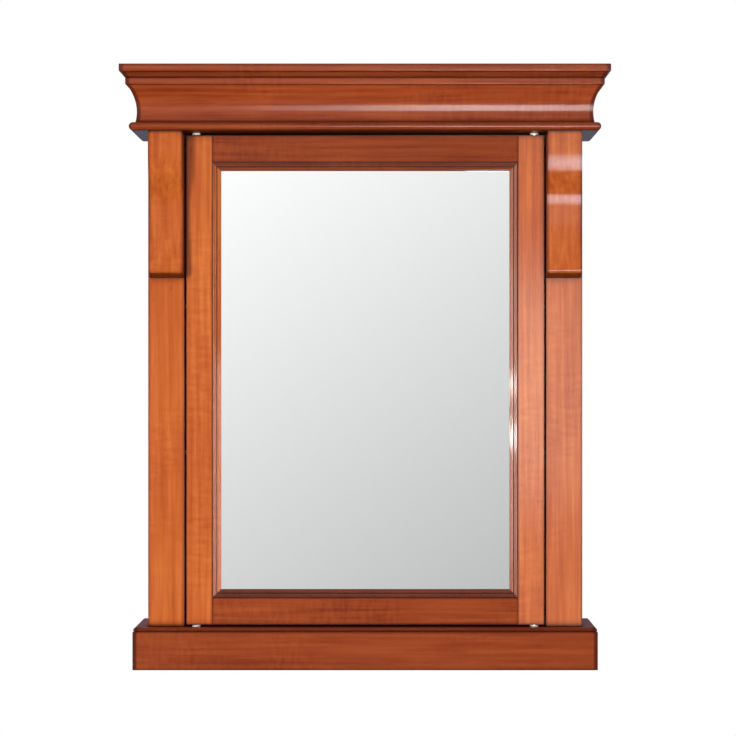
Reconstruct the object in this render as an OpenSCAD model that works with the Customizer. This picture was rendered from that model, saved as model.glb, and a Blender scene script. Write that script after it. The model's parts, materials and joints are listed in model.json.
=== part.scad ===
// Wall-hung bathroom medicine cabinet with one mirrored, pivot-hung door.
// Frame: X to the right, Y into the wall, Z up. The origin is on the wall plane, at the
// centre of the four wall-screw holes. The front of the cabinet faces -Y. Millimetres.

/* [Overall] */
// Width over the top of the cornice
overall_w = 635; // [580:1:700]
// Height from the bottom of the base to the top of the cornice
overall_h = 786; // [740:0.5:860]
// Depth from the wall to the front of the cornice
overall_d = 203.2; // [195:0.2:225]

/* [Body] */
// Width over the two posts
body_w = 568; // [540:1:575]
// Distance from the wall to the front of the posts and the closed door
body_d = 143.2; // [135:0.2:147]
// Width of each post
post_w = 47.5; // [47:0.5:55]
// Thickness of the posts and of the door frame
front_t = 20; // [20:0.5:22]
// Thickness of the side, top and bottom panels
panel_t = 16; // [15:0.5:18]

/* [Cornice] */
// Height of the crown moulding
crown_h = 74.2; // [74:0.2:90]
// Thickness of the crown moulding, from its back to its widest point
crown_t = 34; // [32:0.5:38]
// Thickness of the soffit board under the crown
soffit_t = 11; // [11:0.5:14]
// How far the crown stands out past the soffit board
crown_overhang = 12; // [10:0.5:16]

/* [Base] */
// Height of the base
base_h = 55.2; // [54:0.1:70]
// Thickness of the base boards
base_t = 18; // [16:0.5:19]
// How far the base stands out past the posts
base_overhang = 19; // [17:0.5:21]
// Thickness of the ledger board inside the base
ledger_t = 12; // [12:0.5:16]

/* [Corbels] */
// Height of each corbel
corbel_h = 189.5; // [180:0.5:210]
// Width of each corbel
corbel_w = 44.4; // [38:0.1:44.6]
// How far its outer side is set in from the outer side of its post
corbel_inset = 2.8; // [0:0.1:3]
// How far the top of a corbel stands out from its post
corbel_top = 42; // [38:0.5:48]
// How far its waist stands out
corbel_waist = 24; // [16:0.5:28]

/* [Door] */
// Gap between the door and each post
side_gap = 2.5; // [2:0.1:4]
// Width of the door's stiles
stile_w = 34; // [32:0.5:60]
// Height of the door's rails
rail_h = 35; // [32:0.5:60]
// Width of the moulding round the mirror
bead_w = 11.2; // [10.6:0.1:16]
// Thickness of the mirror glass
glass_t = 4; // [3:0.5:5]

/* [Pivots] */
// Distance from the door's edge to the pivot axis
pivot_in = 12.8; // [12:0.1:14]
// Distance from the door's front face to the pivot axis
pivot_back = 7; // [6.5:0.1:7.5]
// Radius of the two pivot pins
pin_r = 2.5; // [2:0.1:2.8]

/* [Shelves] */
// Height of the lower shelf above the bottom of the base
lower_shelf_h = 280; // [216:32:312]
// Height of the upper shelf above the bottom of the base
upper_shelf_h = 472; // [408:32:504]
// Thickness of the glass shelves
shelf_t = 5; // [4:0.5:8]

/* [Wall screws] */
// Distance between the screw holes across the wall
screw_span_x = 406.4; // [380:0.2:440]
// Distance between the screw holes up the wall
screw_span_z = 550; // [540:1:560]
// Radius of the screw holes
screw_hole_r = 2.75; // [2:0.05:3.5]

/* [Hidden] */
$fn = 48;

// Wood tones: lighter where the grain runs up, deeper where it runs across
upright_wood = "#bf6a34";
level_wood = "#a4532c";
inner_wood = "#b98048";
raw_wood = "#c9a878";

// Heights, measured from the bottom of the base; the node modules lower them to the frame
lower_screw_h = base_h + 44.6;
origin_h = lower_screw_h + screw_span_z / 2;
opening_bottom = base_h;
crown_bottom = overall_h - crown_h;
opening_top = crown_bottom - soffit_t;
door_gap = 2.8;
door_bottom = opening_bottom + 2.6;
door_top = opening_top - door_gap;
floor_top = opening_bottom + panel_t;
ceiling = opening_top - panel_t;

// Widths, as half widths from the centre
half_crown = overall_w / 2;
half_soffit = half_crown - crown_overhang;
half_body = body_w / 2;
half_inside = half_body - panel_t;
half_base = half_body + base_overhang;
post_in = half_body - post_w;
half_door = post_in - side_gap;
half_pane = half_door - stile_w;
pane_bottom = door_bottom + rail_h;
pane_top = door_top - rail_h;

// Depths, measured from the wall towards the front
soffit_d = overall_d - crown_overhang;
side_d = body_d - front_t;
base_d = body_d + base_overhang + 1;
ledger_d = base_d - base_t;
panel_d = side_d - 7;
rail_t = 12;
back_t = 4;
inside_back = rail_t + back_t;
bead_t = 9;
backing_t = front_t - bead_t - glass_t - 1;
glass_front = body_d - bead_t;
backing_front = glass_front - glass_t;
door_back = body_d - front_t;

// Joinery and hardware
groove = 5;
dowel_r = 4;
dowel_l = 30;
fit = 0.05;
tenon_l = 14;
tenon_t = 8;
tenon_h = 24;
pivot_x = half_door - pivot_in;
pivot_d = body_d - pivot_back;
flange_r = 5.5;
flange_t = 1.9;
barrel_r = 4.3;
barrel_l = 36;
spring_gap = 0.1;
guide_l = 8;
pin_reach = 9.1;
collar_r = 3.4;
chamber_r = 3.5;
hole_pitch = 32;
hole_rows = [-2, -1, 0, 1, 2];
hole_depths = [38, 92];
shelf_hole_r = 2.5;
shelf_front = 108;
shelf_back = 20;

// ---------------------------------------------------------------- helpers

// Points on an arc about [cx, cy], from angle a0 to a1, in n steps
function arc(cx, cy, r, a0, a1, n) =
    [for (i = [0:n]) let (a = a0 + (a1 - a0) * i / n) [cx + r * cos(a), cy + r * sin(a)]];

// Points on a shallow S-curve from a to b that swings amp to the right of the straight line, then
// amp to its left
function cyma(a, b, amp, n) =
    let (d = b - a, len = norm(d), side = [d.y, -d.x] / len)
    [for (i = [0:n]) let (s = i / n) a + d * s + side * amp * sin(360 * s)];

// A box from its limits in X, in depth from the wall, and in height above the base's bottom
module board(x0, x1, d0, d1, h0, h1) {
    translate([x0, -d1, h0 - origin_h]) cube([x1 - x0, d1 - d0, h1 - h0]);
}

// A cylinder along Z at x and depth d, from height h0 to h1
module post_rod(x, d, h0, h1, r) {
    translate([x, -d, h0 - origin_h]) cylinder(r = r, h = h1 - h0);
}

// A cylinder along X at depth d and height h, from x0 to x1
module cross_rod(x0, x1, d, h, r) {
    translate([x0, -d, h - origin_h]) rotate([0, 90, 0]) cylinder(r = r, h = x1 - x0);
}

// A cylinder along Y at x and height h, from depth d0 to the larger depth d1
module depth_rod(x, h, d0, d1, r) {
    translate([x, -d0, h - origin_h]) rotate([90, 0, 0]) cylinder(r = r, h = d1 - d0);
}

// A moulding along X: its profile's first axis is depth from the wall, its second is height
module along_x(half_l) {
    translate([half_l, 0, -origin_h]) rotate([90, 0, -90]) linear_extrude(2 * half_l) children();
}

// A moulding along Y, from the wall to depth d: its profile is drawn as it is seen from the front
module along_y(d) {
    translate([0, 0, -origin_h]) rotate([90, 0, 0]) linear_extrude(d) children();
}

// The plan of a front board that is mitred to a return of thickness t at each end
module front_mitre(half_w, d, t) {
    polygon([[-half_w, -d], [half_w, -d], [half_w - t, t - d], [t - half_w, t - d]]);
}

// The plan of a right-hand return that is mitred to the front board
module side_mitre(half_w, d, t) {
    polygon([[half_w, -d], [half_w, 0], [half_w - t, 0], [half_w - t, t - d]]);
}

// Everything above and below a plan, for cutting mitres
module plan_prism() {
    translate([0, 0, -origin_h]) linear_extrude(overall_h) children();
}

// ---------------------------------------------------------------- cornice

cove_r = 54;
cove_low = 13.5;
cove_in = 21.7;
cove_rise = 34.1;
fillet_in = 7.7;
fillet_bottom = 49.4;
fillet_top = 56.4;
fascia_bottom = crown_h - 10;
fascia_bow = 0.1;
fascia_round = 1.5;
fascia_quirk = 1.6;

// Outline of the crown: u is the distance from its back, z the height above the soffit board.
// From the bottom it is a cove, a fillet, a quirk, a small cyma and a bowed fascia.
crown_outline = let (
    u_cove = crown_t - cove_in + cove_r,
    a_low = asin(cove_low / cove_r),
    a_high = asin(cove_rise / cove_r),
    half_fascia = (crown_h - fascia_bottom) / 2,
    bow_r = (half_fascia * half_fascia + fascia_bow * fascia_bow) / (2 * fascia_bow),
    a_bow = asin(half_fascia / bow_r),
    rise = half_fascia - fascia_round,
    a_edge = asin(rise / bow_r),
    edge_in = bow_r - sqrt(bow_r * bow_r - rise * rise)
) concat(
    [[0, 0]],
    arc(u_cove, cove_low, cove_r, 180 + a_low, 180 - a_high, 24),
    arc(crown_t - fillet_in - 1.8, fillet_bottom, 1.8, -60, 0, 5),
    [[crown_t - fillet_in, fillet_top], [crown_t - fillet_in - 1.2, fillet_top]],
    cyma([crown_t - fillet_in - 1.2, fillet_top + 1],
        [crown_t - fascia_bow - fascia_quirk, fascia_bottom], 0.9, 14),
    arc(crown_t - edge_in - fascia_round, fascia_bottom + fascia_round, fascia_round, -80, 0, 6),
    arc(crown_t - bow_r, fascia_bottom + half_fascia, bow_r, 1 - a_edge, a_bow, 10),
    [[0, crown_h]]
);

module cornice_front() {
    color(level_wood) intersection() {
        along_x(half_crown) translate([overall_d - crown_t, crown_bottom]) polygon(crown_outline);
        plan_prism() front_mitre(half_crown, overall_d, crown_t);
    }
}

module cornice_right() {
    color(level_wood) intersection() {
        along_y(overall_d) translate([half_crown - crown_t, crown_bottom]) polygon(crown_outline);
        plan_prism() side_mitre(half_crown, overall_d, crown_t);
    }
}

module cornice_left() {
    mirror([1, 0, 0]) cornice_right();
}

// Board between the two returns, against the wall
module cornice_back_rail() {
    half = half_crown - crown_t;
    color(raw_wood) board(-half, half, 0, rail_t, crown_bottom, overall_h - 14);
}

// Glue blocks in the two front corners of the crown, which also carry the top board
module cornice_blocks() {
    block = 28;
    inner = half_crown - crown_t;
    front = overall_d - crown_t;
    color(raw_wood) for (side = [-1, 1]) {
        board(side * (inner - block / 2) - block / 2, side * (inner - block / 2) + block / 2,
            front - block, front, crown_bottom, overall_h - 14);
    }
}

// Thin board that closes the top of the crown
module top_board() {
    half = half_crown - crown_t;
    color(inner_wood) board(-half, half, 0, overall_d - crown_t, overall_h - 14, overall_h - 8);
}

// Board under the crown, with a half-round edge on its front and ends
module soffit_board() {
    r = soffit_t / 2;
    color(level_wood) difference() {
        intersection() {
            along_x(half_soffit) translate([0, opening_top]) {
                square([soffit_d - r, soffit_t]);
                translate([soffit_d - r, r]) circle(r);
            }
            along_y(soffit_d) translate([0, opening_top]) {
                translate([r - half_soffit, 0]) square([2 * (half_soffit - r), soffit_t]);
                for (side = [-1, 1]) translate([side * (half_soffit - r), r]) circle(r);
            }
        }
        for (side = [-1, 1]) {
            post_rod(side * pivot_x, pivot_d, opening_top - 1, opening_top + 9, 4 + fit);
        }
    }
}

// ---------------------------------------------------------------- box

// Depths of the dowels, and their heights in the bottom and top panels
dowel_depths = [35, 95];
dowel_heights = [opening_bottom + panel_t / 2, opening_top - panel_t / 2];
dowel_in_side = 10;

module shelf_holes() {
    for (shelf = [lower_shelf_h, upper_shelf_h], row = hole_rows, d = hole_depths) {
        cross_rod(half_inside - 1, half_inside + 10, d,
            shelf - 3.5 + row * hole_pitch, shelf_hole_r);
    }
}

module right_side_panel() {
    color(inner_wood) difference() {
        board(half_inside, half_body, 0, side_d, opening_bottom, opening_top);
        board(half_inside - 1, half_inside + groove, rail_t, inside_back,
            opening_bottom - 1, opening_top + 1);
        shelf_holes();
        for (d = dowel_depths, h = dowel_heights) {
            cross_rod(half_inside - 1, half_inside + dowel_in_side, d, h, dowel_r);
        }
    }
}

module left_side_panel() {
    mirror([1, 0, 0]) right_side_panel();
}

// Top or bottom panel between the sides, from height h up, with a groove on its open face
module cross_panel(h, groove_h) {
    color(inner_wood) difference() {
        board(-half_inside, half_inside, 0, panel_d, h, h + panel_t);
        board(-half_inside - 1, half_inside + 1, rail_t, inside_back, groove_h, groove_h + groove);
        for (side = [-1, 1], d = dowel_depths) {
            x = side * (half_inside + 1 - (dowel_l - dowel_in_side + 2) / 2);
            reach = (dowel_l - dowel_in_side + 2) / 2;
            cross_rod(x - reach, x + reach, d, h + panel_t / 2, dowel_r);
        }
    }
}

module top_panel() {
    difference() {
        cross_panel(ceiling, ceiling);
        catch_screw_bores(1.4 + fit, ceiling - 1, ceiling + 11);
    }
}

module bottom_panel() {
    cross_panel(opening_bottom, floor_top - groove);
}

module panel_dowels() {
    mid = half_inside - dowel_l / 2 + dowel_in_side - 0.5;
    color(raw_wood) for (side = [-1, 1], d = dowel_depths, h = dowel_heights) {
        cross_rod(side * mid - dowel_l / 2 + 1, side * mid + dowel_l / 2 - 1, d, h, dowel_r - fit);
    }
}

module back_panel() {
    in_groove = groove - 0.5;
    color(inner_wood) difference() {
        board(-half_inside - in_groove, half_inside + in_groove, rail_t, inside_back,
            floor_top - in_groove, ceiling + in_groove);
        wall_screw_holes();
    }
}

module wall_screw_holes() {
    for (side = [-1, 1], h = [lower_screw_h, lower_screw_h + screw_span_z]) {
        depth_rod(side * screw_span_x / 2, h, -1, inside_back + 1, screw_hole_r);
    }
}

// Hanging rail behind the back panel; the wall screws pass through it
module hanging_rail(h0, h1) {
    color(raw_wood) difference() {
        board(-half_inside, half_inside, 0, rail_t, h0, h1);
        wall_screw_holes();
    }
}

module upper_hanging_rail() {
    hanging_rail(ceiling - 70, ceiling);
}

module lower_hanging_rail() {
    hanging_rail(floor_top, floor_top + 62);
}

// ---------------------------------------------------------------- posts and corbels

module right_post() {
    color(upright_wood) board(post_in, half_body, side_d, body_d, opening_bottom, opening_top);
}

module left_post() {
    mirror([1, 0, 0]) right_post();
}

roll_r = 5;
roll_p = 33;
belly_start = 22;
waist_t = 99;
belly_share = 0.62;

// Side outline of a corbel: p is how far it stands out from the post, t the distance below its
// top. A long belly runs into a hollow waist, which runs out again into a small nose that is
// undercut.
corbel_outline = let (
    fall = corbel_top - corbel_waist,
    run = waist_t - belly_start,
    a = 2 * atan(fall / run),
    belly_r = belly_share * run / sin(a),
    hollow_r = (1 - belly_share) * run / sin(a),
    roll_t = corbel_h - 9.5,
    low_run = roll_t - 1 - waist_t,
    low_rise = roll_p - corbel_waist,
    low_r = (low_run * low_run + low_rise * low_rise) / (2 * low_rise),
    b = asin(low_run / low_r)
) concat(
    [[0, 0], [corbel_top, 0]],
    [for (q = arc(corbel_top - belly_r, belly_start, belly_r, 0, a, 14)) q],
    [for (q = arc(corbel_waist + hollow_r, waist_t, hollow_r, 180 + a, 180, 12)) q],
    [for (q = arc(corbel_waist + low_r, waist_t, low_r, 180, 180 - b, 12)) q],
    [for (q = arc(roll_p - roll_r * cos(b), roll_t, roll_r, -b, 72, 14)) q],
    [[0, corbel_h]]
);

module right_corbel() {
    color(upright_wood) translate([half_body - corbel_inset, -body_d, opening_top - origin_h])
        rotate([90, 180, -90]) mirror([1, 0, 0]) linear_extrude(corbel_w) polygon(corbel_outline);
}

module left_corbel() {
    mirror([1, 0, 0]) right_corbel();
}

// ---------------------------------------------------------------- base

base_round = 3.9;
base_face_top = base_h - base_round - 1.6;

// Outline of a base board: a plain face, a deep quirk and a quarter round up to the top
base_outline = concat(
    [[0, 0], [base_t, 0]],
    arc(base_t - 0.8, base_face_top - 0.8, 0.8, 0, 90, 4),
    [[base_t - 2.8, base_face_top], [base_t - 2.8, base_h - base_round]],
    arc(base_t - 0.6 - base_round, base_h - base_round, base_round, 0, 90, 10),
    [[0, base_h]]
);

module base_front() {
    color(level_wood) intersection() {
        along_x(half_base) translate([base_d - base_t, 0]) polygon(base_outline);
        plan_prism() front_mitre(half_base, base_d, base_t);
    }
}

module base_right() {
    color(level_wood) intersection() {
        along_y(base_d) translate([half_base - base_t, 0]) polygon(base_outline);
        plan_prism() side_mitre(half_base, base_d, base_t);
    }
}

module base_left() {
    mirror([1, 0, 0]) base_right();
}

// Board inside the base that carries the box and the lower pivots
module base_ledger() {
    half = half_base - base_t;
    color(level_wood) difference() {
        board(-half, half, 0, ledger_d, base_h - ledger_t, base_h);
        for (side = [-1, 1]) post_rod(side * pivot_x, pivot_d, base_h - 10, base_h + 1, 4 + fit);
    }
}

module base_back_rail() {
    half = half_base - base_t;
    color(raw_wood) board(-half, half, 0, rail_t, 0, base_h - ledger_t);
}

module base_blocks() {
    block = 26;
    inner = half_base - base_t;
    color(raw_wood) for (side = [-1, 1], d = [ledger_d - block, rail_t]) {
        board(side * (inner - block / 2) - block / 2, side * (inner - block / 2) + block / 2,
            d, d + block, 6, base_h - ledger_t);
    }
}

// ---------------------------------------------------------------- door frame

clip_screw_in = 5;
clip_heights = [pane_bottom + 80, (pane_bottom + pane_top) / 2, pane_top - 80];
screw_r = 1.4;
screw_l = 11;

// Where the mirror clips sit: [x, height, angle of the end that holds the backing]
clip_places = concat(
    [for (h = clip_heights) [-half_pane, h, 0]],
    [for (h = clip_heights) [half_pane, h, 180]],
    [[0, pane_bottom, 90], [0, pane_top, 270]]
);

module at_clips() {
    for (c = clip_places) {
        translate([c[0], -door_back, c[1] - origin_h]) rotate([0, -c[2], 0]) children();
    }
}

// Mortises for the rails' tenons, from the stile's inner edge
module tenon(x0, x1, h, slack) {
    mid = (door_back + body_d) / 2;
    board(x0, x1, mid - tenon_t / 2 - slack, mid + tenon_t / 2 + slack,
        h + (rail_h - tenon_h) / 2 - slack, h + (rail_h + tenon_h) / 2 + slack);
}

module clip_screw_bores() {
    at_clips() translate([-clip_screw_in, -screw_l - 0.5, 0])
        rotate([-90, 0, 0]) cylinder(r = screw_r + fit, h = screw_l + 2);
}

module stile() {
    board(half_pane, half_door, door_back, body_d, door_bottom, door_top);
}

module hinge_stile() {
    color(upright_wood) difference() {
        stile();
        for (h = [door_bottom, door_top - rail_h]) tenon(half_pane - 1, half_pane + tenon_l + 0.5, h, 0.1);
        clip_screw_bores();
        post_rod(pivot_x, pivot_d, door_top - barrel_l, door_top + 1, barrel_r + fit);
        post_rod(pivot_x, pivot_d, door_bottom - 1, door_bottom + 26, barrel_r + fit);
    }
}

module catch_stile() {
    color(upright_wood) difference() {
        mirror([1, 0, 0]) stile();
        mirror([1, 0, 0]) for (h = [door_bottom, door_top - rail_h]) {
            tenon(half_pane - 1, half_pane + tenon_l + 0.5, h, 0.1);
        }
        clip_screw_bores();
        strike_screw_bores();
    }
}

module rail(h) {
    color(level_wood) difference() {
        union() {
            board(-half_pane, half_pane, door_back, body_d, h, h + rail_h);
            tenon(-half_pane - tenon_l, -half_pane + 1, h, 0);
            tenon(half_pane - 1, half_pane + tenon_l, h, 0);
        }
        clip_screw_bores();
    }
}

module door_top_rail() {
    rail(door_top - rail_h);
}

module door_bottom_rail() {
    rail(door_bottom);
}

// Outline of the moulding round the mirror: w runs from the frame to the pane, y is the depth
// behind the door's face. A quirk, a small bead, a slope, a groove and a sloping lip over the glass.
bead_outline = concat(
    [[0, -bead_t], [0, -1.6], [0.8, -1.6]],
    arc(1.7, -1.5, 0.9, 180, 0, 8),
    cyma([2.6, -1.9], [5.2, -3.6], 0.25, 8),
    [[5.2, -5.6], [6, -5.6], [6, -4.4]],
    cyma([6.3, -4.2], [bead_w - 1.8, -6], 0.2, 8),
    arc(bead_w - 1.6, -7.6, 1.6, 85, 0, 8),
    [[bead_w, -bead_t]]
);

// One upright length of the moulding on the right of the pane, mitred at both ends
module upright_bead(half_w, half_h) {
    intersection() {
        translate([half_w, -body_d, -half_h]) linear_extrude(2 * half_h)
            mirror([1, 0, 0]) mirror([0, 1, 0]) polygon(bead_outline);
        translate([0, 1 - glass_front, 0]) rotate([90, 0, 0]) linear_extrude(bead_t + 2)
            polygon([[half_w, -half_h], [half_w, half_h],
                [half_w - bead_w, half_h - bead_w], [half_w - bead_w, bead_w - half_h]]);
    }
}

half_pane_h = (pane_top - pane_bottom) / 2;
pane_mid = (pane_top + pane_bottom) / 2 - origin_h;

module door_bead_right() {
    color(upright_wood) translate([0, 0, pane_mid]) upright_bead(half_pane, half_pane_h);
}

module door_bead_left() {
    mirror([1, 0, 0]) door_bead_right();
}

module door_bead_top() {
    color(level_wood) translate([0, 0, pane_mid]) rotate([0, -90, 0])
        upright_bead(half_pane_h, half_pane);
}

module door_bead_bottom() {
    color(level_wood) translate([0, 0, pane_mid]) rotate([0, 90, 0])
        upright_bead(half_pane_h, half_pane);
}

// ---------------------------------------------------------------- mirror

module mirror_glass() {
    color("#e9ecee") board(-half_pane + 1, half_pane - 1, backing_front, glass_front,
        pane_bottom + 1, pane_top - 1);
}

module mirror_backing() {
    color("#8a6f52") board(-half_pane + 1, half_pane - 1, backing_front - backing_t, backing_front,
        pane_bottom + 1, pane_top - 1);
}

// A stepped clip on the frame's back; its longer end bears on the backing board
module clip() {
    difference() {
        union() {
            translate([-10, 0, -6]) cube([20, 1.5, 12]);
            translate([1.2, -1, -6]) cube([8.8, 1.5, 12]);
        }
        translate([-clip_screw_in, -1, 0]) rotate([-90, 0, 0]) cylinder(r = 1.8, h = 4);
    }
}

module mirror_clips() {
    color("#d8d5cc") at_clips() clip();
}

// A round-head screw whose shank runs towards the front
module clip_screw() {
    rotate([-90, 0, 0]) difference() {
        union() {
            cylinder(r = 3, h = 1.6);
            translate([0, 0, -screw_l + 1]) cylinder(r = screw_r, h = screw_l);
        }
        for (turn = [0, 90]) rotate(turn) translate([-1.8, -0.3, 0.8]) cube([3.6, 0.6, 2]);
    }
}

module mirror_clip_screws() {
    color("silver") at_clips() translate([-clip_screw_in, 1.5, 0]) clip_screw();
}

// ---------------------------------------------------------------- pivots

// Flanged bushing in the soffit or the ledger: the flange lies from h to h + flange_t
module bushing(x, h, body_h0, body_h1, bore_h0, bore_h1) {
    color("#efece2") difference() {
        union() {
            post_rod(x, pivot_d, h, h + flange_t, flange_r);
            post_rod(x, pivot_d, body_h0, body_h1, 4);
        }
        post_rod(x, pivot_d, bore_h0, bore_h1, pin_r + fit);
    }
}

module upper_bushing(side) {
    bushing(side * pivot_x, opening_top - flange_t, opening_top - 1, opening_top + 8.8,
        opening_top - flange_t - 1, opening_top + 8);
}

module lower_bushing(side) {
    bushing(side * pivot_x, base_h, base_h - 9.8, base_h + 1, base_h - 9, base_h + flange_t + 1);
}

module upper_right_bushing() {
    upper_bushing(1);
}

module upper_left_bushing() {
    upper_bushing(-1);
}

module lower_right_bushing() {
    lower_bushing(1);
}

module lower_left_bushing() {
    lower_bushing(-1);
}

barrel_bottom = door_top - barrel_l + 0.2;
chamber_bottom = barrel_bottom + 2.4;
barrel_flange_t = door_gap - flange_t - 0.1;
guide_bottom = door_top + barrel_flange_t - guide_l;
collar_h = 3.6;

// Housing of the sprung upper pivot, let into the door's top edge
module upper_pivot_barrel() {
    color("#c9c4b8") difference() {
        union() {
            post_rod(pivot_x, pivot_d, barrel_bottom, door_top + 0.01, barrel_r);
            post_rod(pivot_x, pivot_d, door_top, door_top + barrel_flange_t, flange_r);
        }
        post_rod(pivot_x, pivot_d, chamber_bottom, guide_bottom, chamber_r);
        post_rod(pivot_x, pivot_d, guide_bottom - 1, door_top + 2, pin_r + fit);
    }
}

// Upper pivot pin: it slides down into the barrel, so that the door can be lifted out
module upper_pivot_pin() {
    top = door_top + barrel_flange_t + pin_reach;
    color("#d4d1c8") union() {
        post_rod(pivot_x, pivot_d, guide_bottom - collar_h, top, pin_r);
        post_rod(pivot_x, pivot_d, guide_bottom - 0.1 - collar_h, guide_bottom - 0.1, collar_r);
    }
}

coil_r = 2.7;
wire_r = 0.4;
coil_turns = 6;
coil_steps = 14;
wire_sides = 6;

// Corners of the spring wire's ring number i on its way up a coil of height rise
function wire_ring(i, rise) =
    let (n = coil_turns * coil_steps, a = 360 * i / coil_steps, z = rise * i / n)
    [for (k = [0:wire_sides - 1]) let (
        t = 360 * k / wire_sides, out = coil_r + wire_r * cos(t))
        [out * cos(a), out * sin(a), z + wire_r * sin(t)]];

module coil_spring(rise) {
    n = coil_turns * coil_steps;
    polyhedron(
        points = [for (i = [0:n]) each wire_ring(i, rise)],
        faces = concat(
            [[for (k = [0:wire_sides - 1]) k]],
            [for (i = [0:n - 1], k = [0:wire_sides - 1]) let (
                a = i * wire_sides + k, b = i * wire_sides + (k + 1) % wire_sides)
                [a, a + wire_sides, b + wire_sides, b]],
            [[for (k = [wire_sides - 1:-1:0]) n * wire_sides + k]]
        )
    );
}

module upper_pivot_spring() {
    low = chamber_bottom + wire_r + spring_gap;
    high = guide_bottom - 0.1 - collar_h - wire_r - spring_gap;
    color("#9a9a9a") translate([pivot_x, -pivot_d, low - origin_h]) coil_spring(high - low);
}

// Lower pivot: a plug in the door's bottom edge with a flange that carries the door, and its pin
module lower_pivot_pin() {
    flange_bottom = base_h + flange_t + 0.1;
    color("#d4d1c8") union() {
        post_rod(pivot_x, pivot_d, flange_bottom, door_bottom, flange_r);
        post_rod(pivot_x, pivot_d, door_bottom - 0.5, door_bottom + 25.8, barrel_r);
        post_rod(pivot_x, pivot_d, base_h - 8.4, door_bottom, pin_r);
    }
}

// ---------------------------------------------------------------- catch

catch_x = -half_door + stile_w / 2;
catch_w = 40;
catch_h = 14;
catch_nose = door_back - 2.2;
strike_h = ceiling - catch_h / 2;
strike_w = 32;
strike_screw_dx = 11;
strike_screw_l = 5.2;

module catch_screw_bores(r, h0, h1) {
    for (side = [-1, 1]) post_rod(catch_x + side * 14, catch_nose - 12, h0, h1, r);
}

// Housing of the magnetic catch, under the top panel
module catch_body() {
    color("#e6e0d2") difference() {
        board(catch_x - catch_w / 2, catch_x + catch_w / 2, catch_nose - 20, catch_nose,
            ceiling - catch_h, ceiling);
        board(catch_x - 8.2, catch_x + 8.2, catch_nose - 16, catch_nose + 1,
            ceiling - catch_h + 2, ceiling - 2);
        catch_screw_bores(1.8, ceiling - catch_h - 1, ceiling + 1);
    }
}

module catch_magnet() {
    color("#3b3a3a") board(catch_x - 8, catch_x + 8, catch_nose - 15.5, catch_nose - 0.5,
        ceiling - catch_h + 4, ceiling - 4);
}

// Steel plates above and below the magnet, which stand out to the strike
module catch_poles() {
    color("#8f9192") for (h = [ceiling - catch_h + 2.4, ceiling - 4]) {
        board(catch_x - 8, catch_x + 8, catch_nose - 15.5, catch_nose + 1, h, h + 1.6);
    }
}

module catch_screws() {
    color("silver") {
        for (side = [-1, 1]) {
            difference() {
                post_rod(catch_x + side * 14, catch_nose - 12, ceiling - catch_h - 1.8,
                    ceiling - catch_h, 3.5);
                translate([catch_x + side * 14, 12 - catch_nose, ceiling - catch_h - 2 - origin_h])
                    for (turn = [0, 90]) rotate(turn) translate([-2, -0.35, -0.5]) cube([4, 0.7, 1.3]);
            }
        }
        catch_screw_bores(1.4, ceiling - catch_h - 0.5, ceiling + 10.5);
    }
}

module strike_screw_bores() {
    for (side = [-1, 1]) {
        depth_rod(catch_x + side * strike_screw_dx, strike_h, door_back - 1,
            door_back + strike_screw_l + 0.4, 1.4 + fit);
    }
}

module strike_plate() {
    color("#9a9c9d") difference() {
        board(catch_x - strike_w / 2, catch_x + strike_w / 2, door_back - 1, door_back,
            strike_h - 9, strike_h + 9);
        for (side = [-1, 1]) {
            depth_rod(catch_x + side * strike_screw_dx, strike_h, door_back - 2, door_back + 1, 1.7);
        }
    }
}

// Flat-head screws that hold the strike plate to the catch stile
module strike_screws() {
    color("silver") for (side = [-1, 1]) {
        x = catch_x + side * strike_screw_dx;
        difference() {
            union() {
                depth_rod(x, strike_h, door_back - 1.1, door_back + strike_screw_l, 1.4);
                depth_rod(x, strike_h, door_back - 2, door_back - 1, 2.8);
            }
            translate([x, 2 - door_back, strike_h - origin_h])
                for (turn = [0, 90]) rotate([0, turn, 0]) translate([-1.6, -0.5, -0.3]) cube([3.2, 1, 0.6]);
        }
    }
}

// Rubber stops on the front edges of the top and bottom panels
module door_bumpers() {
    color("#4a4643") for (h = [opening_bottom + panel_t / 2 + 1.5, opening_top - panel_t / 2 - 1.5]) {
        depth_rod(-half_door + 20, h, panel_d, panel_d + 4, 5);
        depth_rod(-half_door + 20, h, panel_d + 3.9, door_back - 0.3, 4);
    }
}

// ---------------------------------------------------------------- shelves

module shelf(h) {
    color("#c4ddd8") board(-half_inside + 1.5, half_inside - 1.5, shelf_back, shelf_front, h, h + shelf_t);
}

module upper_shelf() {
    shelf(upper_shelf_h);
}

module lower_shelf() {
    shelf(lower_shelf_h);
}

// Four steel supports: each has a pin in the side panel and a flat tab under the shelf
module shelf_pins(h) {
    color("#b9b7b1") for (side = [-1, 1], d = hole_depths) {
        x_tab = side * (half_inside - 5.5);
        x_pin = side * (half_inside + 3.5);
        union() {
            board(x_tab - 5, x_tab + 5, d - 4.5, d + 4.5, h - 2, h);
            cross_rod(x_pin - 4.5, x_pin + 4.5, d, h - 3.5, shelf_hole_r - fit);
            cross_rod(side * (half_inside - 0.75) - 0.75, side * (half_inside - 0.75) + 0.75, d,
                h - 3.5, 3.5);
        }
    }
}

module upper_shelf_pins() {
    shelf_pins(upper_shelf_h);
}

module lower_shelf_pins() {
    shelf_pins(lower_shelf_h);
}

// ---------------------------------------------------------------- nodes

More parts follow.
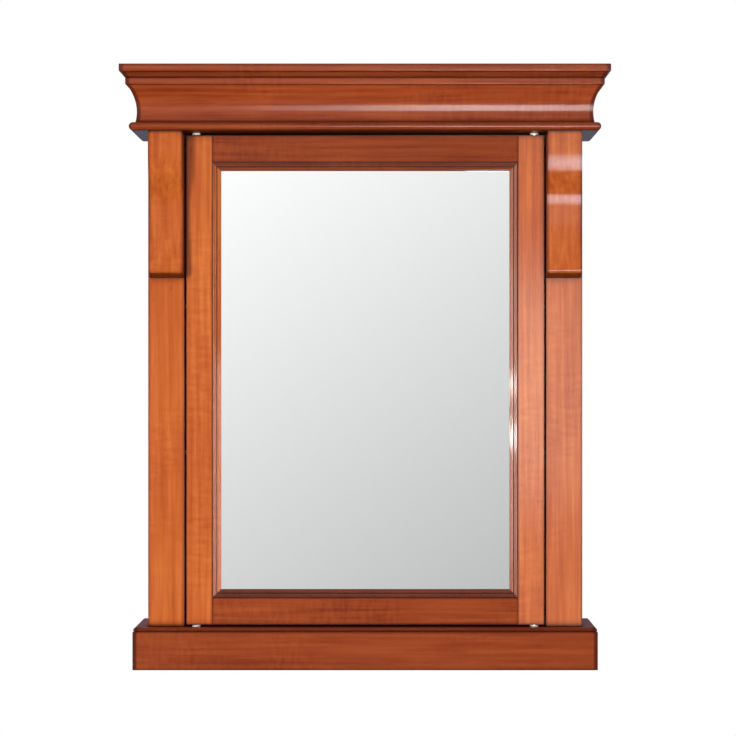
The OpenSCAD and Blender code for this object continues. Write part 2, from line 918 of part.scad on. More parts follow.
cornice_front();
cornice_left();
cornice_right();
cornice_back_rail();
cornice_blocks();
top_board();
soffit_board();
left_side_panel();
right_side_panel();
top_panel();
bottom_panel();
back_panel();
upper_hanging_rail();
lower_hanging_rail();
panel_dowels();
left_post();
right_post();
left_corbel();
right_corbel();
base_ledger();
base_front();
base_left();
base_right();
base_back_rail();
base_blocks();
hinge_stile();
catch_stile();
door_top_rail();
door_bottom_rail();
door_bead_left();
door_bead_right();
door_bead_top();
door_bead_bottom();
mirror_glass();
mirror_backing();
mirror_clips();
mirror_clip_screws();
upper_right_bushing();
lower_right_bushing();
upper_left_bushing();
lower_left_bushing();
upper_pivot_barrel();
upper_pivot_pin();
upper_pivot_spring();
lower_pivot_pin();
catch_body();
catch_magnet();
catch_poles();
catch_screws();
strike_plate();
strike_screws();
door_bumpers();
upper_shelf();
lower_shelf();
upper_shelf_pins();
lower_shelf_pins();
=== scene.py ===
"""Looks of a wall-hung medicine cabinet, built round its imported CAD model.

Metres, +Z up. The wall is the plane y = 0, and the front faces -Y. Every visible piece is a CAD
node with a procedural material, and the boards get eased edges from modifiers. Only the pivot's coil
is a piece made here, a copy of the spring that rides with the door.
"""

import json
import math
import random

import bpy
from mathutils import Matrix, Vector

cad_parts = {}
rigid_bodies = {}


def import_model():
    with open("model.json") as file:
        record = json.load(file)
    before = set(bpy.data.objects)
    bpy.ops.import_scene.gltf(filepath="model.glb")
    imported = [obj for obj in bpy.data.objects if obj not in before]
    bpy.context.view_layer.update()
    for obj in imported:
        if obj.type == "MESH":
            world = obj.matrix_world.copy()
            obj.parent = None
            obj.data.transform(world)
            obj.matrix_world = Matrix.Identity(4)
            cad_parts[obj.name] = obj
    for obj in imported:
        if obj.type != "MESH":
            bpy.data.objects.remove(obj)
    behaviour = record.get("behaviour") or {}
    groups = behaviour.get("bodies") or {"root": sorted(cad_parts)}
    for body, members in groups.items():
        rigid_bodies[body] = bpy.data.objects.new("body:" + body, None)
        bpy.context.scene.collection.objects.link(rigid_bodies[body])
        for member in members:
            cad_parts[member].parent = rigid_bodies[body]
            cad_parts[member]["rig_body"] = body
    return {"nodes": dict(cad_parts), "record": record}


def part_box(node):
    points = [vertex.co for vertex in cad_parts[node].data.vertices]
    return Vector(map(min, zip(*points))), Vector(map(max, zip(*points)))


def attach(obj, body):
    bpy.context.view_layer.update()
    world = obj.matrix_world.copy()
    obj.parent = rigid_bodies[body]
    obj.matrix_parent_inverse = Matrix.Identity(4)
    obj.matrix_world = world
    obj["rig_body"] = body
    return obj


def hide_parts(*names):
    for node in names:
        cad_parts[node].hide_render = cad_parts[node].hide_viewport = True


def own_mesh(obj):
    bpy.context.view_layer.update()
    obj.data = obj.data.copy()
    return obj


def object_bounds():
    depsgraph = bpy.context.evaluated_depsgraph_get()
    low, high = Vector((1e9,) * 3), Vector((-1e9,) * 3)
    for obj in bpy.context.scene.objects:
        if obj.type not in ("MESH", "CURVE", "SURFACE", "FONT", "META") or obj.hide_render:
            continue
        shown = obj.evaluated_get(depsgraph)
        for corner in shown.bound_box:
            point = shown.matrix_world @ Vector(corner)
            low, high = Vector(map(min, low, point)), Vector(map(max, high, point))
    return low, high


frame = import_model()
cad_low, cad_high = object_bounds()
nodes = frame["nodes"]
slots = {row["node"]: row["material_slot"] for row in frame["record"]["subparts"]}
MM = 0.001


# ------------------------------------------------------------------ node helpers

class Tree:
    """A node tree that is built by short calls: an input is a constant or another node's output."""

    def __init__(self, tree):
        self.tree = tree
        tree.nodes.clear()

    def add(self, kind, out=0, settings=None, **inputs):
        """Adds a node and returns one of its outputs. Inputs are named, or by number as i0, i1."""
        made = self.tree.nodes.new(kind)
        for name, value in (settings or {}).items():
            setattr(made, name, value)
        for name, value in inputs.items():
            key = name.replace("_", " ")
            if name[0] == "i" and name[1:].isdigit():
                key = int(name[1:])
            self.feed(made.inputs[key], value)
        return made.outputs[out]

    def feed(self, socket, value):
        if isinstance(value, bpy.types.NodeSocket):
            self.tree.links.new(value, socket)
        else:
            socket.default_value = value

    def math(self, operation, *values, clamp=False):
        inputs = {f"i{k}": v for k, v in enumerate(values)}
        return self.add("ShaderNodeMath", settings={"operation": operation, "use_clamp": clamp}, **inputs)

    def vector(self, operation, *values, out=0):
        inputs = {f"i{k}": v for k, v in enumerate(values)}
        return self.add("ShaderNodeVectorMath", out, {"operation": operation}, **inputs)

    def mix(self, factor, a, b, blend="MIX"):
        """Mixes two colours."""
        settings = {"data_type": "RGBA", "blend_type": blend, "clamp_factor": True}
        return self.add("ShaderNodeMix", 2, settings, i0=factor, i6=a, i7=b)

    def ramp(self, factor, stops, ease="LINEAR"):
        """A colour ramp. Stops are (position, colour), where a colour may be one grey value."""
        output = self.add("ShaderNodeValToRGB", i0=factor)
        ramp = output.node.color_ramp
        ramp.interpolation = ease
        while len(ramp.elements) < len(stops):
            ramp.elements.new(1)
        for element, (position, value) in zip(ramp.elements, stops):
            element.position = position
            element.color = rgba(value)
        return output

    def noise(self, vector, scale, detail=2.0, roughness=0.5, distortion=0.0):
        return self.add("ShaderNodeTexNoise", Vector=vector, Scale=scale, Detail=detail,
                        Roughness=roughness, Distortion=distortion)

    def bump(self, height, distance, strength=1.0, **more):
        return self.add("ShaderNodeBump", Height=height, Distance=distance, Strength=strength, **more)

    def split(self, vector):
        made = self.add("ShaderNodeSeparateXYZ", i0=vector).node
        return made.outputs[0], made.outputs[1], made.outputs[2]

    def join(self, x, y, z):
        return self.add("ShaderNodeCombineXYZ", i0=x, i1=y, i2=z)


def rgba(value):
    if isinstance(value, (int, float)):
        value = (value, value, value)
    return (*value[:3], 1.0)


def new_material(name):
    """A material, its tree, its Principled shader, and the object's own coordinates and normal."""
    made = bpy.data.materials.new(name)
    made.use_nodes = True
    tree = Tree(made.node_tree)
    shader = made.node_tree.nodes.new("ShaderNodeBsdfPrincipled")
    output = made.node_tree.nodes.new("ShaderNodeOutputMaterial")
    made.node_tree.links.new(shader.outputs[0], output.inputs[0])
    place = made.node_tree.nodes.new("ShaderNodeTexCoord")
    return made, tree, shader, place.outputs["Object"], place.outputs["Normal"]


def finish_shader(tree, shader, **inputs):
    for name, value in inputs.items():
        tree.feed(shader.inputs[name.replace("_", " ")], value)


# ------------------------------------------------------------------ wood

# Stained cherry palettes. The toner colour is painted shade, laid along convex edges.
CHERRY_UPRIGHT = {"dark": (0.43, 0.068, 0.012), "mid": (0.59, 0.128, 0.024), "light": (0.75, 0.21, 0.042),
                  "toner": (0.20, 0.030, 0.006)}
CHERRY_LEVEL = {"dark": (0.19, 0.024, 0.005), "mid": (0.315, 0.055, 0.013), "light": (0.44, 0.088, 0.02),
                "toner": (0.11, 0.014, 0.004)}
CHERRY_CASE = {"dark": (0.30, 0.055, 0.010), "mid": (0.44, 0.105, 0.022), "light": (0.58, 0.17, 0.04),
               "toner": (0.16, 0.028, 0.007)}
POPLAR = {"dark": (0.36, 0.25, 0.13), "mid": (0.52, 0.39, 0.22), "light": (0.64, 0.51, 0.32)}
CYMA_DOWN, CYMA_HALF = 14.6 * MM, 4.6 * MM   # the cyma under the crown's fascia, which gets painted shade
# Dark glazing colour. It also serves as painted shade in recesses, on down-facing faces and on the cyma.
GLAZE_AND_SHADE = (0.030, 0.004, 0.0015)
LACQUER = {"Specular_IOR_Level": 0.05, "Coat_Weight": 0.27, "Coat_Roughness": 0.12}
FULL_LACQUER = {"Specular_IOR_Level": 0.1, "Coat_Weight": 1.0, "Coat_Roughness": 0.07}


def along_grain(tree, vector, axis):
    """The coordinates with the grain's axis put last."""
    x, y, z = tree.split(vector)
    return {"X": (y, z, x), "Y": (x, z, y), "Z": (x, y, z)}[axis]


def wood_tone(tree, place, axis, colours):
    """Colour and fibre height of one board. Its rings are cylinders round the board's own heart,
    an object property, so that the figure runs true round its edges."""
    heart = tree.add("ShaderNodeAttribute", 1, {"attribute_type": "OBJECT", "attribute_name": "heart"})
    local = tree.vector("SUBTRACT", place, heart)
    u, v, w = along_grain(tree, local, axis)
    slow = tree.join(u, v, tree.math("MULTIPLY", w, 0.16))
    fine = tree.join(u, v, tree.math("MULTIPLY", w, 0.035))
    warp = tree.math("SUBTRACT", tree.noise(slow, 9.0, 3.0), 0.5)
    radius = tree.vector("LENGTH", tree.join(u, v, 0.0), out=1)
    radius = tree.math("ADD", radius, tree.math("MULTIPLY", warp, 0.035))
    ring = tree.math("PINGPONG", tree.math("DIVIDE", radius, 0.0042), 1.0)
    ring = tree.math("POWER", ring, 1.6)
    streak = tree.noise(fine, 210.0, 4.0, 0.6)
    wide = tree.noise(slow, 26.0, 3.0, 0.55, 0.4)
    blotch = tree.noise(tree.join(u, v, tree.math("MULTIPLY", w, 0.55)), 13.0, 3.0, 0.6, 0.8)
    tone = tree.math("MULTIPLY_ADD", tree.math("SUBTRACT", streak, 0.5), 0.9, 0.5)
    tone = tree.math("MULTIPLY_ADD", tree.math("SUBTRACT", wide, 0.5), 0.55, tone)
    tone = tree.math("MULTIPLY_ADD", tree.math("SUBTRACT", blotch, 0.5), 0.35, tone)
    tone = tree.math("MULTIPLY_ADD", tree.math("SUBTRACT", ring, 0.4), 0.10, tone)
    bent = tree.math("MULTIPLY_ADD", warp, 0.012, w)
    across = [tree.math("MULTIPLY", part, 0.3) for part in (u, v)]
    curl = tree.noise(tree.join(*across, bent), 170.0, 2.0)
    curly = tree.ramp(tree.noise(local, 9.0, 2.0), [(0.42, 0.0), (0.62, 1.0)], "EASE")
    curl = tree.math("MULTIPLY", tree.math("SUBTRACT", curl, 0.5), curly)
    tone = tree.math("MULTIPLY_ADD", curl, 0.5, tone)
    colour = tree.ramp(tone, [(0.12, colours["dark"]), (0.5, colours["mid"]), (0.88, colours["light"])])
    pores = tree.noise(tree.join(u, v, tree.math("MULTIPLY", w, 0.045)), 1300.0, 1.0, 0.4)
    ticks = tree.ramp(pores, [(0.26, 1.0), (0.34, 0.0)])
    dark_tick = tree.mix(1.0, colour, rgba(0.45), "MULTIPLY")
    colour = tree.mix(tree.math("MULTIPLY", ticks, 0.45), colour, dark_tick)
    height = tree.math("MULTIPLY_ADD", ticks, -0.6, streak)
    height = tree.math("MULTIPLY_ADD", wide, 1.6, height)
    return colour, height


def knots(tree, place, colour):
    """A few small flecks and pin knots, drawn out along the grain."""
    spots = tree.add("ShaderNodeTexVoronoi", settings={"feature": "F1"}, Vector=tree.vector(
        "MULTIPLY", place, (1.0, 1.0, 0.35)), Scale=42.0, Randomness=1.0)
    chosen = tree.math("LESS_THAN", tree.split(spots.node.outputs["Color"])[0], 0.4)
    core = tree.ramp(spots, [(0.02, 1.0), (0.08, 0.0)], "EASE")
    return tree.mix(tree.math("MULTIPLY", tree.math("MULTIPLY", core, chosen), 0.75), colour,
                    rgba((0.10, 0.018, 0.007)))


def stained_wood(name, axis, colours, coat=LACQUER, bare_back=True, with_knots=False, reach=12 * MM,
                 edge_shading=1.0):
    """Lacquered, stained wood. Dark glazing sits in its recesses and is deepened there into painted shade;
    its down-facing faces and the crown's cyma get painted shade, painted shade darkens it towards its
    convex edges, and its face against the wall is left bare."""
    material, tree, shader, place, normal = new_material(name)
    colour, height = wood_tone(tree, place, axis, colours)
    if with_knots:
        colour = knots(tree, place, colour)
    # Darkening in recesses by ambient occlusion: partly real glazing, partly painted shade where shade
    # falls.
    recess = tree.add("ShaderNodeAmbientOcclusion", 1, {"samples": 8}, Distance=reach)
    glaze_and_shade = tree.ramp(recess, [(0.30, 1.0), (0.55, 0.62), (0.80, 0.22), (0.95, 0.0)])
    # Painted shade: faces that turn downwards are darkened, as if no light reached them from below.
    under = tree.ramp(tree.math("MULTIPLY", tree.split(normal)[2], -1.0), [(0.62, 0.0), (0.97, 0.8)])
    glaze_and_shade = tree.math("MAXIMUM", glaze_and_shade, under)
    # Painted shade on the down-facing cyma under the crown's fascia.
    cyma = tree.math("COMPARE", tree.split(place)[2], cad_high.z - CYMA_DOWN, CYMA_HALF)
    cyma = tree.math("MULTIPLY", cyma, tree.ramp(tree.split(normal)[2], [(0.0, 0.42), (0.001, 0.0)]))
    glaze_and_shade = tree.math("MAXIMUM", glaze_and_shade, cyma)
    # Painted shade along convex edges, found by ambient occlusion from inside and broken up by noise.
    inward = tree.add("ShaderNodeAmbientOcclusion", 1, {"samples": 8, "inside": True, "only_local": True},
                      Distance=4.5 * MM if bare_back else 2.4 * MM)
    toner = tree.ramp(inward, [(0.55, 1.0), (0.75, 0.45), (1.0, 0.0)])
    patchy = tree.math("MULTIPLY_ADD", tree.noise(place, 60.0, 3.0, 0.6), 0.6 * edge_shading, 0.7 * edge_shading)
    toner = tree.math("MULTIPLY", toner, patchy)
    colour = tree.mix(toner, colour, rgba(colours["toner"]))
    # Mixes in the dark glazing and the painted shade.
    colour = tree.mix(tree.math("MULTIPLY", glaze_and_shade, 0.94), colour, rgba(GLAZE_AND_SHADE))
    lacquer = tree.math("MULTIPLY_ADD", tree.noise(place, 55.0, 3.0, 0.6), 0.16, 0.33)
    lacquer = tree.math("MULTIPLY_ADD", glaze_and_shade, 0.2, lacquer)
    if bare_back:
        bare, _ = wood_tone(tree, place, axis, POPLAR)
        facing = tree.math("GREATER_THAN", tree.split(normal)[1], 0.7)
        colour = tree.mix(facing, colour, bare)
        lacquer = tree.math("MAXIMUM", lacquer, tree.math("MULTIPLY", facing, 0.85))
    fibres = tree.bump(height, 0.12 * MM, 0.35)
    peel = tree.bump(tree.noise(place, 420.0, 2.0), 0.03 * MM, 0.5, Normal=fibres)
    finish_shader(tree, shader, Base_Color=colour, Roughness=lacquer, Normal=peel, IOR=1.5,
                  Coat_IOR=1.5, **coat)
    return material


def raw_wood(name, axis):
    """Sawn, unfinished wood, with faint saw marks across the grain."""
    material, tree, shader, place, _ = new_material(name)
    colour, height = wood_tone(tree, place, axis, POPLAR)
    across = along_grain(tree, place, axis)[2]
    saw = tree.math("SINE", tree.math("MULTIPLY", across, 2 * math.pi / (2.6 * MM)))
    saw = tree.math("MULTIPLY", saw, tree.noise(place, 18.0, 2.0))
    colour = tree.mix(tree.math("MULTIPLY_ADD", saw, 0.08, 0.06), colour, rgba(POPLAR["dark"]))
    rough = tree.math("MULTIPLY_ADD", height, 0.1, 0.76)
    sawn = tree.bump(tree.math("MULTIPLY_ADD", saw, 0.4, height), 0.25 * MM, 0.6)
    finish_shader(tree, shader, Base_Color=colour, Roughness=rough, Normal=sawn)
    return material


def darker(colours, factor):
    return {key: tuple(factor * c for c in value) for key, value in colours.items()}


def thin_board(name):
    """Thin board with a stained veneer towards the room and a brown fibre back."""
    material, tree, shader, place, normal = new_material(name)
    veneer, height = wood_tone(tree, place, "Z", CHERRY_CASE)
    fibre = tree.noise(place, 900.0, 4.0, 0.7, 1.5)
    back = tree.ramp(fibre, [(0.3, (0.15, 0.085, 0.045)), (0.7, (0.30, 0.19, 0.11))])
    facing = tree.math("GREATER_THAN", tree.split(normal)[1], 0.7)
    rough = tree.math("MULTIPLY_ADD", facing, 0.4, tree.math("MULTIPLY_ADD", height, 0.12, 0.4))
    relief = tree.math("MULTIPLY_ADD", facing, fibre, height)
    finish_shader(tree, shader, Base_Color=tree.mix(facing, veneer, back), Roughness=rough,
                  Normal=tree.bump(relief, 0.15 * MM, 0.4))
    return material


def hardboard(name):
    """Pressed fibre board: matt brown flecks, and a fine mesh mark on its back."""
    material, tree, shader, place, _ = new_material(name)
    fibre = tree.noise(place, 700.0, 5.0, 0.75, 2.0)
    colour = tree.ramp(fibre, [(0.25, (0.12, 0.062, 0.03)), (0.5, (0.24, 0.14, 0.075)),
                               (0.8, (0.36, 0.24, 0.14))])
    x, _, z = tree.split(place)
    mesh = tree.math("MULTIPLY", tree.math("SINE", tree.math("MULTIPLY", x, 2600.0)),
                     tree.math("SINE", tree.math("MULTIPLY", z, 2600.0)))
    relief = tree.bump(tree.math("MULTIPLY_ADD", mesh, 0.5, fibre), 0.2 * MM, 0.7)
    finish_shader(tree, shader, Base_Color=colour, Roughness=0.82, Normal=relief)
    return material


# ------------------------------------------------------------------ glass, metal, plastic

def mirror_glass(name):
    """Silvered glass: bright towards the room, grey protective paint behind, green at its edges."""
    material, tree, shader, place, normal = new_material(name)
    _, facing, _ = tree.split(normal)
    silver = tree.math("LESS_THAN", facing, -0.7)
    behind = tree.math("GREATER_THAN", facing, 0.7)
    speck = tree.noise(place, 240.0, 3.0, 0.7)
    paint = tree.ramp(speck, [(0.35, (0.12, 0.13, 0.13)), (0.65, (0.19, 0.20, 0.20))])
    colour = tree.mix(behind, rgba((0.16, 0.30, 0.25)), paint)
    colour = tree.mix(silver, colour, rgba((0.93, 0.945, 0.94)))
    smear = tree.ramp(tree.noise(place, 7.0, 5.0, 0.6), [(0.5, 0.0), (0.8, 0.03)])
    haze = tree.math("MULTIPLY", smear, silver)
    rough = tree.math("ADD", tree.math("MULTIPLY", tree.math("SUBTRACT", 1.0, silver), 0.45), haze)
    finish_shader(tree, shader, Base_Color=colour, Roughness=rough, Metallic=silver)
    return material


def shelf_glass(name):
    """Clear float glass with ground, greener edges and a trace of dust."""
    material, tree, shader, place, normal = new_material(name)
    up = tree.math("ABSOLUTE", tree.split(normal)[2])
    edge = tree.math("LESS_THAN", up, 0.7)
    dust = tree.ramp(tree.noise(place, 60.0, 5.0, 0.65), [(0.5, 0.0), (0.85, 0.12)])
    rough = tree.math("MULTIPLY_ADD", edge, 0.3, dust)
    colour = tree.mix(edge, rgba((0.93, 0.985, 0.965)), rgba((0.30, 0.55, 0.46)))
    grind = tree.bump(tree.math("MULTIPLY", tree.noise(place, 1500.0, 2.0), edge), 0.05 * MM, 0.6)
    finish_shader(tree, shader, Base_Color=colour, Roughness=rough, Transmission_Weight=1.0, IOR=1.52,
                  Normal=grind)
    return material


def plated_metal(name, colour, rough, grain=1.0):
    """Plated steel: fine random scratches, duller patches and a few dark specks."""
    material, tree, shader, place, _ = new_material(name)
    scratch = tree.noise(tree.vector("MULTIPLY", place, (1.0, 1.0, 0.08)), 3200.0, 3.0, 0.7)
    patch = tree.noise(place, 130.0, 3.0, 0.6)
    dark = tuple(0.55 * c for c in colour)
    shade = tree.mix(tree.ramp(patch, [(0.35, 0.15), (0.75, 0.0)]), rgba(colour), rgba(dark))
    roughness = tree.math("MULTIPLY_ADD", scratch, 0.22 * grain, rough)
    roughness = tree.math("MULTIPLY_ADD", patch, 0.12, roughness)
    finish_shader(tree, shader, Base_Color=shade, Roughness=roughness, Metallic=1.0,
                  Normal=tree.bump(scratch, 0.02 * MM, 0.4 * grain))
    return material


def moulded_plastic(name, colour):
    """Injection-moulded plastic: slightly mottled, with a fine spark-eroded texture."""
    material, tree, shader, place, _ = new_material(name)
    mottle = tree.noise(place, 90.0, 4.0, 0.6)
    shade = tree.ramp(mottle, [(0.3, tuple(0.9 * c for c in colour)), (0.7, colour)])
    spark = tree.noise(place, 2600.0, 2.0)
    finish_shader(tree, shader, Base_Color=shade, Roughness=tree.math("MULTIPLY_ADD", spark, 0.15, 0.42),
                  Subsurface_Weight=0.08, Subsurface_Scale=0.8 * MM,
                  Normal=tree.bump(spark, 0.03 * MM, 0.5))
    return material


def dull_solid(name, colour, rough=0.8):
    """Ferrite or rubber: dark, matt and finely pitted."""
    material, tree, shader, place, _ = new_material(name)
    pit = tree.noise(place, 700.0, 5.0, 0.75)
    shade = tree.ramp(pit, [(0.3, tuple(0.6 * c for c in colour)), (0.7, tuple(1.5 * c for c in colour))])
    finish_shader(tree, shader, Base_Color=shade, Roughness=tree.math("MULTIPLY_ADD", pit, 0.15, rough),
                  Normal=tree.bump(pit, 0.08 * MM, 0.6))
    return material


# ------------------------------------------------------------------ which piece gets what

GRAIN_Y = {"cornice_left", "cornice_right", "base_left", "base_right"}
MADE = {}


def grain_axis(node):
    """The axis of a board's grain: its returns run to the wall, the rest along their longest side."""
    if node in GRAIN_Y:
        return "Y"
    low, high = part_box(node)
    size = high - low
    return "XYZ"[max(range(3), key=lambda k: size[k])]


def material_for(node):
    slot, body = slots[node], nodes[node]["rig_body"]
    axis = grain_axis(node)
    on_wall = body == "cabinet"
    key = node if node in BEAD_PAINTED_LIGHT else (slot, axis, on_wall)
    if key in MADE:
        return MADE[key]
    name = f"{slot}_{axis.lower()}" + ("" if on_wall else "_door")
    if node in BEAD_PAINTED_LIGHT:
        colours = CHERRY_UPRIGHT if slot == "upright_wood" else CHERRY_LEVEL
        MADE[key] = stained_wood(node, axis, darker(colours, BEAD_PAINTED_LIGHT[node]), FULL_LACQUER, False,
                                 reach=4 * MM, edge_shading=0.2)
        return MADE[key]
    recipes = {
        "upright_wood": lambda: stained_wood(name, axis, CHERRY_UPRIGHT, LACQUER, on_wall, with_knots=True),
        "level_wood": lambda: stained_wood(name, axis, CHERRY_LEVEL, LACQUER, on_wall, reach=9 * MM),
        "case_wood": lambda: stained_wood(name, axis, CHERRY_CASE, LACQUER, on_wall),
        "raw_wood": lambda: raw_wood(name, axis),
        "back_board": lambda: thin_board(name),
        "mirror": lambda: mirror_glass(name),
        "backing_board": lambda: hardboard(name),
        "clip_steel": lambda: plated_metal(name, (0.78, 0.77, 0.72), 0.26),
        "screw_steel": lambda: plated_metal(name, (0.80, 0.79, 0.76), 0.18),
        "nylon": lambda: moulded_plastic(name, (0.86, 0.84, 0.78)),
        "pivot_metal": lambda: plated_metal(name, (0.84, 0.83, 0.80), 0.14),
        "spring_steel": lambda: plated_metal(name, (0.50, 0.50, 0.50), 0.24),
        "catch_plastic": lambda: moulded_plastic(name, (0.11, 0.065, 0.04)),
        "magnet": lambda: dull_solid(name, (0.05, 0.05, 0.053), 0.55),
        "pole_steel": lambda: plated_metal(name, (0.62, 0.62, 0.61), 0.24, 1.3),
        "rubber": lambda: dull_solid(name, (0.045, 0.042, 0.040)),
        "shelf_glass": lambda: shelf_glass(name),
        "pin_steel": lambda: plated_metal(name, (0.74, 0.73, 0.70), 0.22),
    }
    MADE[key] = recipes[slot]()
    return MADE[key]


# How light or dark each bead's wood is painted: lit and shaded copies that stand in for how the light falls
# on each bead.
BEAD_PAINTED_LIGHT = {"door_bead_left": 1.05, "door_bead_right": 0.55, "door_bead_top": 0.85, "door_bead_bottom": 0.5}
WOODS = {"upright_wood", "level_wood", "case_wood", "raw_wood", "back_board", "backing_board"}


def ease_edges(piece, width):
    """Rounds a board's arrises and shades its curves smoothly, by modifiers on the CAD mesh."""
    mesh = piece.data
    for spare in ("custom_normal", "sharp_edge", "sharp_face"):
        if spare in mesh.attributes:
            mesh.attributes.remove(mesh.attributes[spare])
    weld = piece.modifiers.new("weld", "WELD")
    weld.merge_threshold = 0.004 * MM
    flat = piece.modifiers.new("flat", "DECIMATE")
    flat.decimate_type = "DISSOLVE"
    flat.angle_limit = math.radians(0.4)
    ease = piece.modifiers.new("ease", "BEVEL")
    ease.width = width
    ease.segments = 3
    ease.limit_method = "ANGLE"
    ease.angle_limit = math.radians(38)
    ease.use_clamp_overlap = True
    smooth = piece.modifiers.new("smooth", "WEIGHTED_NORMAL")
    smooth.keep_sharp = False
    smooth.weight = 60


def dress(node):
    """Gives a CAD node its material, and a board its own heart and its eased edges."""
    piece = nodes[node]
    piece.data.materials.clear()
    piece.data.materials.append(material_for(node))
    if slots[node] not in WOODS:
        return
    low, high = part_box(node)
    draw = random.Random(node)
    turn = draw.uniform(0, 2 * math.pi)
    away = draw.uniform(0.05, 0.13)
    centre = (low + high) / 2
    sideways = {"X": (0, 1, 1), "Y": (1, 0, 1), "Z": (1, 1, 0)}[grain_axis(node)]
    offset = [0.0, 0.0, 0.0]
    for k, part in zip([k for k in range(3) if sideways[k]], (math.cos(turn), math.sin(turn))):
        offset[k] = away * part
    along = [k for k in range(3) if not sideways[k]][0]
    offset[along] = draw.uniform(-2, 2)
    piece["heart"] = [centre[k] + offset[k] for k in range(3)]
    ease_edges(piece, (0.2 if node in BEAD_PAINTED_LIGHT else 0.7) * MM)


def make_coil():
    """The pivot's spring as its own piece, a copy of the CAD spring that rides with the door."""
    node = "upper_pivot_spring"
    coil = bpy.data.objects.new("pivot_coil", nodes[node].data.copy())
    bpy.context.scene.collection.objects.link(coil)
    coil.matrix_world = nodes[node].matrix_world
    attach(coil, "door")
    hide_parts(node)
    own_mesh(coil)


for node in nodes:
    dress(node)
make_coil()


# ------------------------------------------------------------------ room

FLOOR_DROP = 1.2        # how far the floor lies below the cabinet
# What the world shows to matt surfaces, below and above
DIM_LOW = (0.05, 0.05, 0.055)
DIM_HIGH = (0.29, 0.29, 0.31)


def aim(obj, target):
    obj.rotation_euler = (Vector(target) - obj.location).to_track_quat("-Z", "Y").to_euler()


def softbox(name, place, target, width, height, power, colour=(1, 1, 1), spread=180, glossy=True,
            diffuse=True, only=()):
    """A rectangular light. It may be seen by some nodes only, and only as a glow or as a gloss."""
    light = bpy.data.lights.new(name, "AREA")
    light.shape = "RECTANGLE"
    light.size = width
    light.size_y = height
    light.energy = power
    light.color = colour
    light.spread = math.radians(spread)
    obj = bpy.data.objects.new(name, light)
    bpy.context.scene.collection.objects.link(obj)
    obj.location = place
    aim(obj, target)
    obj.visible_glossy = glossy
    obj.visible_diffuse = diffuse
    if only:
        group = bpy.data.collections.new(f"{name}_lights")
        for node in only:
            group.objects.link(nodes[node])
        obj.light_linking.receiver_collection = group


def gleam(name, low, high, brightness, only, colour=(1, 1, 1), y=-4.25):
    """A softbox facing the cabinet, seen only in the gloss of some nodes. It spans low to high,
    (x, z) pairs, at that y, and its power follows from how bright it looks."""
    width, height = high[0] - low[0], high[1] - low[1]
    x, z = (low[0] + high[0]) / 2, (low[1] + high[1]) / 2
    softbox(name, (x, y, z), (x, 0, z), width, height, brightness * math.pi * width * height, colour,
            diffuse=False, only=only)


def floor_material():
    material, tree, shader, place, _ = new_material("pale_floor")
    tone = tree.ramp(tree.noise(place, 1.5, 3.0), [(0.3, 0.90), (0.7, 0.94)])
    finish_shader(tree, shader, Base_Color=tone, Roughness=0.9)
    return material


def make_floor():
    half, level = 8.0, cad_low.z - FLOOR_DROP
    mesh = bpy.data.meshes.new("floor")
    corners = [(-half, -half, level), (half, -half, level), (half, half, level), (-half, half, level)]
    mesh.from_pydata(corners, [], [(0, 1, 2, 3)])
    floor = bpy.data.objects.new("floor", mesh)
    bpy.context.scene.collection.objects.link(floor)
    mesh.materials.append(floor_material())
    floor.visible_diffuse = False
    floor.visible_glossy = False


def make_world():
    """White for the camera. For reflections a soft room: bright up and to the left before the
    cabinet, greyer low and to the right, darker to the sides, and a dim blue-grey behind it. For
    the rest a dim room, lighter above than below."""
    world = bpy.data.worlds.new("studio")
    bpy.context.scene.world = world
    world.use_nodes = True
    tree = Tree(world.node_tree)
    toward = tree.add("ShaderNodeTexCoord", 0)
    x, y, z = tree.split(tree.vector("NORMALIZE", toward))
    sweep = tree.math("MULTIPLY_ADD", z, 1.302, tree.math("MULTIPLY_ADD", x, -0.913, 0.864))
    sweep = tree.math("MINIMUM", tree.math("MAXIMUM", sweep, 0.62), 1.02)
    front = tree.math("MULTIPLY", tree.math("POWER", sweep, 2.2), 1.07)
    ahead = tree.ramp(tree.math("MULTIPLY", y, -1.0), [(0.84, 0.30), (0.975, 1.0)], "EASE")
    front = tree.math("MULTIPLY", front, ahead)
    behind = tree.mix(tree.math("MULTIPLY_ADD", z, 6.0, 0.5, clamp=True), rgba((0.33, 0.40, 0.53)),
                      rgba((0.14, 0.17, 0.22)))
    side = tree.math("MULTIPLY_ADD", y, 2.2, 0.5, clamp=True)
    seen = tree.mix(side, front, behind)
    around = tree.mix(tree.math("MULTIPLY_ADD", z, 0.9, 0.45, clamp=True), rgba(DIM_LOW), rgba(DIM_HIGH))
    ray = tree.add("ShaderNodeLightPath").node
    ambient = tree.mix(ray.outputs["Is Glossy Ray"], around, seen)
    shown = tree.mix(ray.outputs["Is Camera Ray"], ambient, rgba(1.0))
    background = tree.add("ShaderNodeBackground", Color=shown, Strength=1.0)
    output = world.node_tree.nodes.new("ShaderNodeOutputWorld")
    world.node_tree.links.new(background, output.inputs[0])


COOL = (0.75, 1.0, 1.2)
ROSY = (1.0, 0.92, 0.93)
CROWN = ("cornice_front", "cornice_left", "cornice_right")
GLOSSY_CROWN = ("soffit_board", *CROWN)
PIVOTS = ("upper_pivot_barrel", "upper_pivot_pin", "lower_pivot_pin", "upper_left_bushing",
          "upper_right_bushing", "lower_left_bushing", "lower_right_bushing")
RIGHT_SIDE = ("right_post", "hinge_stile", "catch_stile")


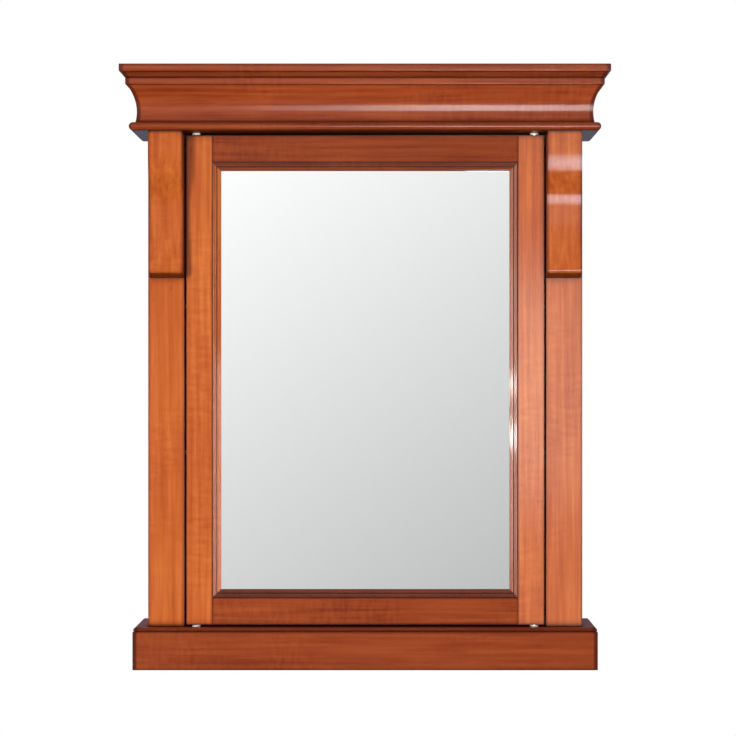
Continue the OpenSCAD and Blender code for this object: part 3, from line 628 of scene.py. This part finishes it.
def make_lights():
    """A key from the left, a bounce from below, two lights behind for the back, and then the windows
    and lamps that the lacquer reflects. Each of those is seen by some nodes only."""
    softbox("key_left", (-1.25, -3.4, 0.35), (0, -0.1, -0.02), 0.6, 0.6, 3.7, spread=40, glossy=False)
    softbox("bounce", (0.5, -3.3, -1.0), (0, -0.1, 0.0), 1.4, 0.8, 44, (1.0, 0.98, 0.97), glossy=False)
    softbox("rear_left", (-2.2, 2.6, 1.6), (0, 0, 0), 1.8, 1.8, 60, glossy=False)
    softbox("rear_right", (2.4, 2.2, 0.9), (0, 0, 0), 1.8, 1.8, 40, glossy=False)
    softbox("bounce_crown", (0.5, -1.2, -1.35), (0.05, -0.2, 0.37), 1.0, 0.6, 13, glossy=False, only=CROWN)
    gleam("window", (0.12, -0.65), (0.62, 0.48), 29, GLOSSY_CROWN)
    gleam("window_left", (-0.08, -0.6), (0.12, 0.45), 20, GLOSSY_CROWN)
    gleam("window_far_left", (-0.30, -0.55), (-0.08, 0.42), 8, GLOSSY_CROWN)
    gleam("window_right", (0.24, -0.33), (0.62, 0.28), 12,
          ("door_bead_top", "hinge_stile", "catch_stile"))
    gleam("window_post", (0.24, -0.33), (0.62, 0.28), 7.5, ("right_post",))
    gleam("veil", (0.2, -1.4), (1.15, 0.9), 2.8, ("right_corbel", *RIGHT_SIDE), y=-4.3)
    gleam("window_low", (0.42, -1.9), (1.08, -0.45), 25, ("right_corbel",), COOL)
    gleam("window_mid", (0.42, -0.45), (1.08, -0.08), 13, ("right_corbel",), COOL)
    softbox("spark", (0.1, -3.9, 0.1), (0, -0.14, 0.1), 0.9, 0.6, 50, only=PIVOTS)
    sides = {"diffuse": False, "colour": ROSY}
    near_right = ("left_post", "left_corbel", "catch_stile", *BEAD_PAINTED_LIGHT)
    near_left = ("right_post", "right_corbel", "hinge_stile", *BEAD_PAINTED_LIGHT)
    softbox("side_right", (1.8, -1.35, -0.45), (0, -0.15, -0.45), 1.5, 1.0, 45, only=near_right, **sides)
    softbox("side_left", (-1.7, -1.25, -0.05), (0, -0.15, -0.05), 1.4, 1.2, 26, only=near_left, **sides)
    softbox("side_left_mid", (-1.6, -1.2, -0.06), (0, -0.15, -0.06), 1.3, 0.6, 13, only=near_left, **sides)
    lamps = {"diffuse": False, "only": ("door_bead_right",)}
    softbox("lamp_upper", (-1.55, -1.2, -0.009), (0, -0.15, 0.0), 1.1, 0.028, 8.5, **lamps)
    softbox("lamp_lower", (-1.55, -1.2, -0.109), (0, -0.15, -0.08), 1.1, 0.045, 13.5, **lamps)


def make_camera():
    """Long lens, square on to the cabinet, a little right of its middle."""
    camera = bpy.data.cameras.new("camera")
    camera.lens = 151.8
    camera.sensor_width = 36
    camera.shift_x = -0.0245
    camera.shift_y = 0.0109
    obj = bpy.data.objects.new("camera", camera)
    bpy.context.scene.collection.objects.link(obj)
    obj.location = (0.0272, cad_low.y - 4.0, 0.0083)
    obj.rotation_euler = (math.radians(90), 0, 0)
    bpy.context.scene.camera = obj


make_floor()
make_world()
make_lights()
make_camera()
bpy.context.scene.view_settings.view_transform = "Standard"
